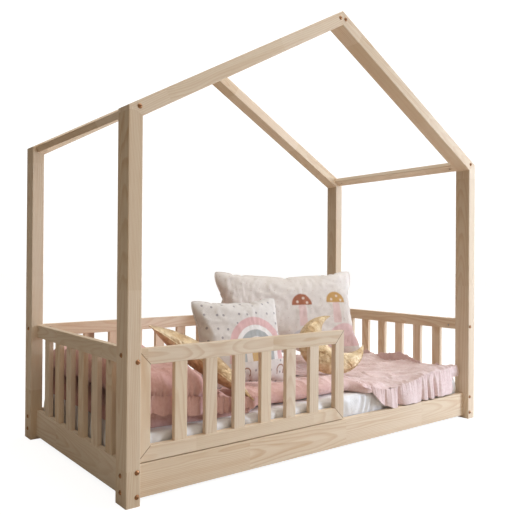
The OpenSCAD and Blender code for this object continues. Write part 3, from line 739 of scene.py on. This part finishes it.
def rainbow_cotton(name):
    """Off-white cotton with grey dots, a plain rainbow and two small arches."""
    s, x, y, color, normal = print_base(name, srgb(226, 219, 212), srgb(217, 209, 201))
    color = s.mix(dots(s, x, y, 0.112, 0.012, 3), color, srgb(168, 160, 158))
    foot = -0.2
    for outer, inner, tint in ((0.317, 0.24, srgb(222, 182, 178)), (0.24, 0.195, srgb(238, 233, 228)),
                               (0.195, 0.13, srgb(176, 178, 176)), (0.13, 0.07, srgb(232, 224, 214)),
                               (0.07, 0.0, srgb(206, 172, 118))):
        color = s.mix(arch(s, x, y, 0.09, -0.1, outer, inner, foot, True), color, tint)
    for centre, tint in ((-0.06, srgb(150, 104, 74)), (0.16, srgb(186, 130, 84)), (0.36, srgb(150, 104, 74))):
        color = s.mix(arch(s, x, y, centre, -0.3, 0.05, 0.038, -0.34, True), color, tint)
    return s.finish(color, 0.88, normal)


def motif_cotton(name):
    """Cream cotton with two toadstools on rounded hills, and scattered specks."""
    s, x, y, color, normal = print_base(name, srgb(236, 228, 220), srgb(228, 219, 211))
    color = s.mix(dots(s, x, y, 0.06, 0.0026, 8), color, srgb(212, 188, 178))
    hills = ((0.06, -0.24, 0.13, srgb(200, 197, 198)), (0.36, -0.23, 0.15, srgb(232, 196, 194)),
             (-0.3, -0.33, 0.14, srgb(234, 208, 200)))
    for centre, low, radius, tint in hills:
        color = s.mix(s.calc("MULTIPLY", arch(s, x, y, centre, low, radius, 0.0, low), 0.85), color, tint)
    for centre, level, cap, stem in ((0.06, 0.04, srgb(176, 112, 84), srgb(232, 204, 198)),
                                     (0.31, 0.055, srgb(204, 160, 98), srgb(232, 204, 198))):
        color = s.mix(arch(s, x, y, centre, level - 0.02, 0.028, 0.0, level - 0.13, True), color, stem)
        color = s.mix(arch(s, x, y, centre, level, 0.07, 0.0, level), color, cap)
        for spot_x, spot_y in ((-0.03, 0.02), (0.012, 0.042), (0.038, 0.014)):
            color = s.mix(disc(s, x, y, centre + spot_x, level + spot_y, 0.008), color, srgb(238, 220, 206))
    return s.finish(color, 0.88, normal)


# ---------- mattress and sheet ----------

MATTRESS_ROUND = 0.022
SHEET_ROUND = 0.024
SHEET_DROP = 0.118


def rounded_slab(half, corner, drop, rows, columns):
    """A cover over a slab: a grid laid on its top and wrapped down its sides. Returns points about the
    slab's top centre, and how far each point has gone over the edge."""
    u, v = shares(rows, columns)
    a = u * (half[0] - corner + drop)
    b = v * (half[1] - corner + drop)
    past = np.stack([np.clip(np.abs(a) - half[0] + corner, 0, None),
                     np.clip(np.abs(b) - half[1] + corner, 0, None)])
    over = np.maximum(past[0], past[1])
    length = np.hypot(past[0], past[1]) + 1e-9
    angle = np.clip(over / corner, 0, math.pi / 2)
    out = np.where(over > 0, corner * np.sin(angle), 0)
    down = np.where(over > 0, corner * (1 - np.cos(angle)) + np.clip(over - corner * math.pi / 2, 0, None), 0)
    x = np.sign(a) * (np.clip(np.abs(a), 0, half[0] - corner) + out * past[0] / length)
    y = np.sign(b) * (np.clip(np.abs(b), 0, half[1] - corner) + out * past[1] / length)
    return np.stack([x, y, -down], -1), over


def make_mattress():
    """The mattress: a closed pad with dimples on its top."""
    low, high = (np.array(c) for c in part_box("mattress"))
    inset = 0.006
    half = (high - low)[:2] / 2 - inset
    centre = np.array([*(low + high)[:2] / 2, high[2] - 0.002])
    height = high[2] - low[2] - 0.004
    drop = MATTRESS_ROUND * math.pi / 2 + height / 2 - MATTRESS_ROUND
    top, over = rounded_slab(half, MATTRESS_ROUND, drop, 180, 96)
    dimple = 0.0015 * (np.cos(top[..., 0] * TAU / 0.11) * np.cos(top[..., 1] * TAU / 0.11))
    top[..., 2] += np.where(over == 0, dimple, 0)
    rows, columns = top.shape[:2]
    bottom = top * np.array([1, 1, -1]) + np.array([0, 0, -height])
    faces = lattice(rows, columns)
    count = rows * columns
    edge = rim(np.arange(count).reshape(rows, columns))
    band = np.stack([edge, np.roll(edge, -1), np.roll(edge, -1) + count, edge + count], -1)
    points = np.concatenate([top.reshape(-1, 3), bottom.reshape(-1, 3)]) + centre
    faces = np.concatenate([faces, faces[:, ::-1] + count, band])
    ticking = smooth_cotton("mattress_ticking", srgb(240, 238, 234), srgb(226, 223, 218))
    pad = make_piece("mattress_pad", points, faces, ticking)
    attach(pad, "mattress_body")
    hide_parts("mattress")


def make_sheet():
    """The fitted sheet: drawn over the mattress, slack on its sides and hanging down them."""
    low, high = (np.array(c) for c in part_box("fitted_sheet"))
    half = (high - low)[:2] / 2
    centre = np.array([*(low + high)[:2] / 2, high[2]])
    points, over = rounded_slab(half, SHEET_ROUND, SHEET_DROP, 380, 220)
    place = points + centre
    side = ease(over, 0.0, 0.03)
    slack = waves(place * np.array([1, 1, 0.0]), 0.22, 11) * 0.5 + 0.5
    sag = np.sin(TAU * (place[..., 2] * 9 + slack * 1.6 + place[..., 0] * 1.3))
    pull = (0.0034 * (sag + 1) + 0.002 * ridges(place, 0.09, 12)) * side
    inward = -np.sign(points[..., :2]) * (np.abs(points[..., :2]) > half - 0.026)
    place[..., :2] += inward * pull[..., None]
    place[..., 2] -= (0.0007 + 0.0006 * waves(place, 0.12, 13)) * (1 - side)
    cover = make_piece("fitted_sheet_cloth", place, lattice(*place.shape[:2]),
                       smooth_cotton("white_jersey", srgb(246, 245, 244), srgb(236, 234, 233)))
    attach(cover, "mattress_body")
    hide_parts("fitted_sheet")


# ---------- quilt ----------

# Millimetres from the bed's front left floor corner: the heap's top along the bed, the level of the
# spread part, the roll's rise over it, and the quilt's two ends, back edge and underside.
HEAP_ALONG = (56, 160, 320, 440, 530)
HEAP_TOP = (374, 372, 306, 222, 196)
SPREAD_TOP = 196
ROLL_RISE = 48
QUILT_LOW_X = 60.0
QUILT_HIGH_X = 1643.0
QUILT_BACK = 840.0
QUILT_BASE = BED_TOP * 1000 + 2.2


def soft_line(value, places, heights, soft):
    """A line through points with its corners rounded over about soft."""
    shifts = np.linspace(-soft, soft, 9)
    return sum(np.interp(value + shift, places, heights) for shift in shifts) / len(shifts)


def quilt_height(x, y):
    """Height of the quilt's top over the floor, in millimetres, at a place along and across the bed."""
    heap = (soft_line(x, HEAP_ALONG, HEAP_TOP, 40) - SPREAD_TOP).clip(0)
    heap = heap * (1 - 0.38 * ease(y, 690, 846)) * (0.9 + 0.1 * ease(y, 90, 200))
    billow = ease(y, 190, 300) * (1 - ease(y, 560, 720)) * np.exp(-((x - 290) / 105) ** 2)
    crest = (1 - ease(y, 170, 260)) * np.exp(-((x - 262) / 62) ** 2)
    heap = heap + 42 * billow + 34 * crest
    spill = ease(x, 985, 1120)
    roll_y, roll_half = 170 - 75 * spill, 82 + 25 * spill
    roll = ROLL_RISE * np.sqrt(np.clip(1 - ((y - roll_y) / roll_half) ** 2, 0, 1))
    roll = roll * ease(x, 430, 540) * (1 - ease(x, 1010, 1150) * 0.98)
    lump = 18 * np.exp(-((x - 520) / 60) ** 2 - ((y - 330) / 160) ** 2)
    to_right = 17 * ease(x, 1250, 1610)
    front_puff = 20 * ease(x, 1280, 1490) * (1 - ease(y, 60, 170))
    dip = -10 * np.exp(-((x - 1190) / 70) ** 2) * (1 - ease(y, 50, 150))
    return SPREAD_TOP + heap + roll + lump + to_right + front_puff + dip


def quilt_front(x):
    """Where the quilt's front edge lies across the bed."""
    roll = ease(x, 470, 560) * (1 - ease(x, 985, 1050))
    spread = ease(x, 985, 1060)
    return 71 + 27 * roll - 29 * spread


def quilt_cap(x):
    """Depth over which the front edge rounds up to the top."""
    roll = ease(x, 470, 560) * (1 - ease(x, 985, 1060))
    heap = 1 - ease(x, 90, 500)
    return 9 + 60 * roll + 30 * heap


def broad_folds(points, size, seed):
    """Soft-topped folds, from 0 to 1."""
    return np.exp(-1.5 * np.abs(waves(points, size, seed)))


def slanted(grid, turn, stretch):
    """The points seen along a direction in the bed's plane, squeezed by stretch along it."""
    x, y, z = grid[..., 0], grid[..., 1], grid[..., 2]
    c, s = math.cos(turn), math.sin(turn)
    return np.stack([(x * c + y * s) / stretch, y * c - x * s, z], -1)


def quilt_folds(grid):
    """Soft folds and creases: mostly upwards on the top and outwards on the front."""
    x, y, z = grid[..., 0], grid[..., 1], grid[..., 2]
    free = ease(z, QUILT_BASE + 1, QUILT_BASE + 9)
    heap = 1 - ease(x, 420, 540)
    spread = ease(x, 1000, 1080)
    runs = slanted(grid, -0.5, 4.5)
    billow = waves(slanted(grid, 0.5, 1.5), 190, 21)
    long_fold = broad_folds(runs, 100, 22) + 0.6 * broad_folds(slanted(grid, -0.95, 3.4), 78, 27)
    crumple = waves(slanted(grid, 0.6, 1.6), 46, 23) * 0.45 + 0.25 * ridges(grid, 34, 24)
    across = ridges(slanted(grid, 1.35, 2.6), 58, 28)
    top = 3.5 * billow * (1 + 1.2 * heap) + 17.0 * long_fold * (spread + 0.5 * heap)
    top = top + 2.4 * crumple - 9 * spread
    top = top + 5.5 * across * (1 - spread) + 12 * broad_folds(slanted(grid, 0.25, 2.2), 160, 26) * heap
    front = quilt_front(x)
    pucker = np.sin(x * TAU / 27 + 2.4 * waves(grid[..., :1], 90, 25))
    reach = 75 + 30 * waves(grid[..., :1], 60, 30)
    near_front = (1 - ease(y, front + 6, front + reach)) * free
    near_right = ease(x, QUILT_HIGH_X - 60, QUILT_HIGH_X - 8) * free
    end_pucker = np.sin(y * TAU / 21 + 2.2 * waves(grid[..., 1:2], 70, 29))
    move = np.zeros_like(grid)
    move[..., 2] = top * free * (1 - 0.45 * near_front) - 4
    move[..., 2] += (3.4 * pucker * spread * near_front + 3.0 * end_pucker * near_right * spread)
    bulge = np.sin(np.clip((z - 250) / 110, 0, 1) * math.pi)
    seam_z = np.interp(x, [60, 460], [292, 243])
    below = 1 - ease(z, seam_z - 34, seam_z)
    at_seam = np.exp(-np.abs(z - seam_z) / 34)
    groove = np.exp(-((z - seam_z) / 5) ** 2)
    heap_front = 5.0 * pucker * at_seam + 1.6 * crumple - 7 * bulge + 15 * below + 8 * groove
    move[..., 1] = heap * near_front * heap_front
    roll_front = near_front * (1 - heap) * (1 - spread)
    move[..., 1] += roll_front * (2.5 * across + 2.0 * crumple - 3)
    return move


def make_quilt(material):
    """The quilt's body: one padded form lofted from cross-sections along the bed."""
    along = np.linspace(QUILT_LOW_X, QUILT_HIGH_X, 430)
    cap_turn = np.linspace(-math.pi / 2, math.pi / 2, 26)
    share = np.linspace(0, 1, 200)[1:]
    sections = []
    for x, front, cap in zip(along, quilt_front(along), quilt_cap(along)):
        crest_y = front + cap
        crest = float(quilt_height(x, crest_y))
        cap_y = crest_y - cap * np.cos(cap_turn)
        cap_z = (QUILT_BASE + crest) / 2 + (crest - QUILT_BASE) / 2 * np.sin(cap_turn)
        y = crest_y + (QUILT_BACK - crest_y) * share
        rise = quilt_height(x, y) - QUILT_BASE - 4
        z = QUILT_BASE + 4 + rise * np.sqrt(np.clip((QUILT_BACK + 2 - y) / 16, 0, 1))
        under = y[::-6]
        ring_y = np.concatenate([cap_y, y, under])
        ring_z = np.concatenate([cap_z, z, np.full_like(under, QUILT_BASE)])
        sections.append(np.stack([np.full_like(ring_y, x), ring_y, ring_z], -1))
    grid = np.array(sections)
    ends = np.minimum(QUILT_HIGH_X + 2 - grid[..., 0], grid[..., 0] - QUILT_LOW_X + 2)
    grid[..., 2] = QUILT_BASE + (grid[..., 2] - QUILT_BASE) * np.sqrt(np.clip(ends / 9, 0.02, 1))
    grid = grid + quilt_folds(grid)
    grid[..., 2] = np.maximum(grid[..., 2], QUILT_BASE - 1)
    rows, columns = grid.shape[:2]
    faces = [list(f) for f in lattice(rows, columns, False, True)]
    faces.append(list(np.arange(columns)[::-1]))
    faces.append(list((rows - 1) * columns + np.arange(columns)))
    return make_piece("quilt_spread", from_corner(grid), faces, material)


FRILL_STEP = 2.0
FRILL_ROWS = 34


def spaced(line):
    """A line of points spaced evenly, with its corners rounded, and the distance along it."""
    line = np.array(line, float)
    run = np.concatenate([[0], np.cumsum(np.linalg.norm(np.diff(line, axis=0), axis=1))])
    place = np.linspace(0, run[-1], int(run[-1] / FRILL_STEP))
    even = np.stack([np.interp(place, run, line[:, k]) for k in range(3)], -1)
    kernel = np.hanning(25) / np.hanning(25).sum()
    wide = np.pad(even, ((12, 12), (0, 0)), mode="edge")
    return np.stack([np.convolve(wide[:, k], kernel, "valid") for k in range(3)], -1), place


def frill(name, seam, drop, material, seed, wave, swing, flare=0.0, pleats=()):
    """A gathered strip along a seam line of points in millimetres. drop is how far it hangs, at even steps
    along the seam, and stands up where it is negative. Its folds swing to the outside of the seam, which is
    on the right of its direction, and pleats lists where deep folds go in."""
    line, place = spaced(seam)
    ahead = np.gradient(line, axis=0)
    ahead[:, 2] = 0
    ahead /= np.linalg.norm(ahead, axis=1, keepdims=True) + 1e-9
    outward = np.stack([ahead[:, 1], -ahead[:, 0], np.zeros(len(ahead))], -1)
    depth = soft_line(place, np.linspace(0, place[-1], len(drop)), drop, 8)
    down = np.linspace(0, 1, FRILL_ROWS)
    phase = place / wave * TAU + 2.4 * waves(place[:, None], wave * 3.5, seed)
    size = 0.8 + 0.4 * waves(place[:, None], wave * 3, seed + 1)
    lobe = 1.7 * np.abs(np.sin(phase / 2)) ** 0.7 - 1.1
    shape = (lobe + 0.25 * np.sin(2.1 * phase + 1.1)) * size
    fine = np.sin(place / 15 * TAU + 2.5 * waves(place[:, None], 45, seed + 2))
    out = swing * shape[:, None] * down ** 0.75 + 2.2 * fine[:, None] * np.exp(-down * 3.2)
    out = out + flare * down ** 0.6
    for spot, strength in pleats:
        pinch = np.exp(-((place - spot)[:, None] / (4 + 5 * down)) ** 2)
        out = out - strength * pinch * (0.35 + 0.65 * down)
    out = out * (1 - 0.6 * ease(place, place[-1] - 90, place[-1] - 45))[:, None]
    lag = 0.4 * swing * np.cos(phase) * size
    points = line[:, None] + np.array([0, 0, -1.0]) * (depth[:, None] * down)[..., None]
    points = points + outward[:, None] * out[..., None] + ahead[:, None] * (lag[:, None] * down)[..., None]
    hem = 1.6 * np.sin(phase + 0.7) + 1.2 * waves(place[:, None], wave, seed + 3)
    points[..., 2] += hem[:, None] * down
    piece = make_piece(name, from_corner(points), lattice(*points.shape[:2]), material)
    thick = piece.modifiers.new("cloth_thickness", "SOLIDIFY")
    thick.thickness = 0.0012
    thick.offset = 0
    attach(piece, "quilt_body")
    return piece


def make_bedding():
    """The quilt: its padded body and the three lengths of frill sewn to it."""
    # The last colour is the painted shade tint, multiplied in towards the bed's left.
    muslin = crinkled("dusty_pink_gauze", srgb(243, 224, 219), srgb(226, 196, 191), 0.011,
                      srgb(240, 216, 211))
    body = make_quilt(muslin)
    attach(body, "quilt_body")
    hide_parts("quilt")
    heap_seam = [(62, 74, 290), (110, 69, 292), (200, 68, 280), (320, 68, 262),
                 (460, 69, 243), (560, 80, 232)]
    frill("quilt_frill_left", heap_seam, (56, 58, 60, 58, 50, 40, 26), muslin, 41,
          wave=52, swing=9.0, flare=2)
    front_seam = [(1000, 72, 232), (1036, 52, 222), (1075, 42, 204), (1134, 38, 190), (1189, 37, 187),
                  (1252, 38, 194), (1330, 40, 205), (1417, 40, 217), (1500, 41, 226), (1570, 44, 228),
                  (1612, 52, 227), (1630, 76, 225), (1634, 110, 222)]
    front_drop = (0, 14, 54, 74, 78, 82, 92, 98, 104, 108, 110, 106, 88)
    frill("quilt_frill_front", front_seam, front_drop, muslin, 51,
          wave=84, swing=15.0, flare=9, pleats=((150, 9), (236, 15), (392, 10), (505, 8)))
    end_seam = [(1640, 96, 196), (1638, 240, 196), (1637, 380, 198), (1637, 500, 196), (1639, 640, 194)]
    end_rise = (-26, -32, -22, -30, -46, -62, -44, -44, -28, -50, -26)
    frill("quilt_frill_end", end_seam, end_rise, muslin, 61, wave=46, swing=5.0, flare=-5)


# ---------- cushions ----------


def upright(turn, lean):
    """The turn of a panel that stands in X and Z and leans back, as the pillow and the square cushion do."""
    stand = Matrix.Rotation(math.pi / 2, 3, "X")
    return Matrix.Rotation(math.radians(turn), 3, "Z") @ Matrix.Rotation(math.radians(lean), 3, "X") @ stand


def cad_turn(x, y, z):
    """The turn about X, then Y, then Z, in degrees."""
    return Euler((math.radians(x), math.radians(y), math.radians(z)), "XYZ").to_matrix()


def make_cushions():
    """The pillow, the square cushion and the two moons."""
    stuffed("pillow_cover", panel_grid(0.715, 0.420, 84, 54, 0.004), 0.125, motif_cotton("motif_cotton"),
            "pillow", "pillow_body", upright(-17, -16),
            drawn=0.72, swollen=1.0, frames=14, bead=0.0022, wrinkle=0.006)
    stuffed("square_cushion_cover", panel_grid(0.400, 0.345, 64, 56, 0.004), 0.110,
            rainbow_cotton("rainbow_cotton"), "square_cushion", "square_cushion_body",
            upright(-2, -16), drawn=0.65, swollen=1.0, frames=14, bead=0.002, wrinkle=0.004)
    roll = Matrix.Rotation(math.radians(42), 3, "Z")
    stuffed("small_moon", crescent_grid(0.145, 0.102, 0.085, 110, 30), 0.090, gold_cloth("gold_cloth_small"),
            "small_moon_cushion", "small_moon_body", cad_turn(54, 0, -33) @ roll,
            drawn=0.12, swollen=0.6, frames=12, bead=0.0022)
    stuffed("large_moon", crescent_grid(0.219, 0.441, 0.344, 120, 36), 0.088, gold_cloth("gold_cloth_large"),
            "large_moon_cushion", "large_moon_body", cad_turn(-36, 0, -120),
            drawn=0.1, swollen=0.15, frames=12, bead=0.0024)


# ---------- the scene ----------

make_camera()
make_studio()
dress_frame()
make_mattress()
make_sheet()
make_bedding()
make_cushions()
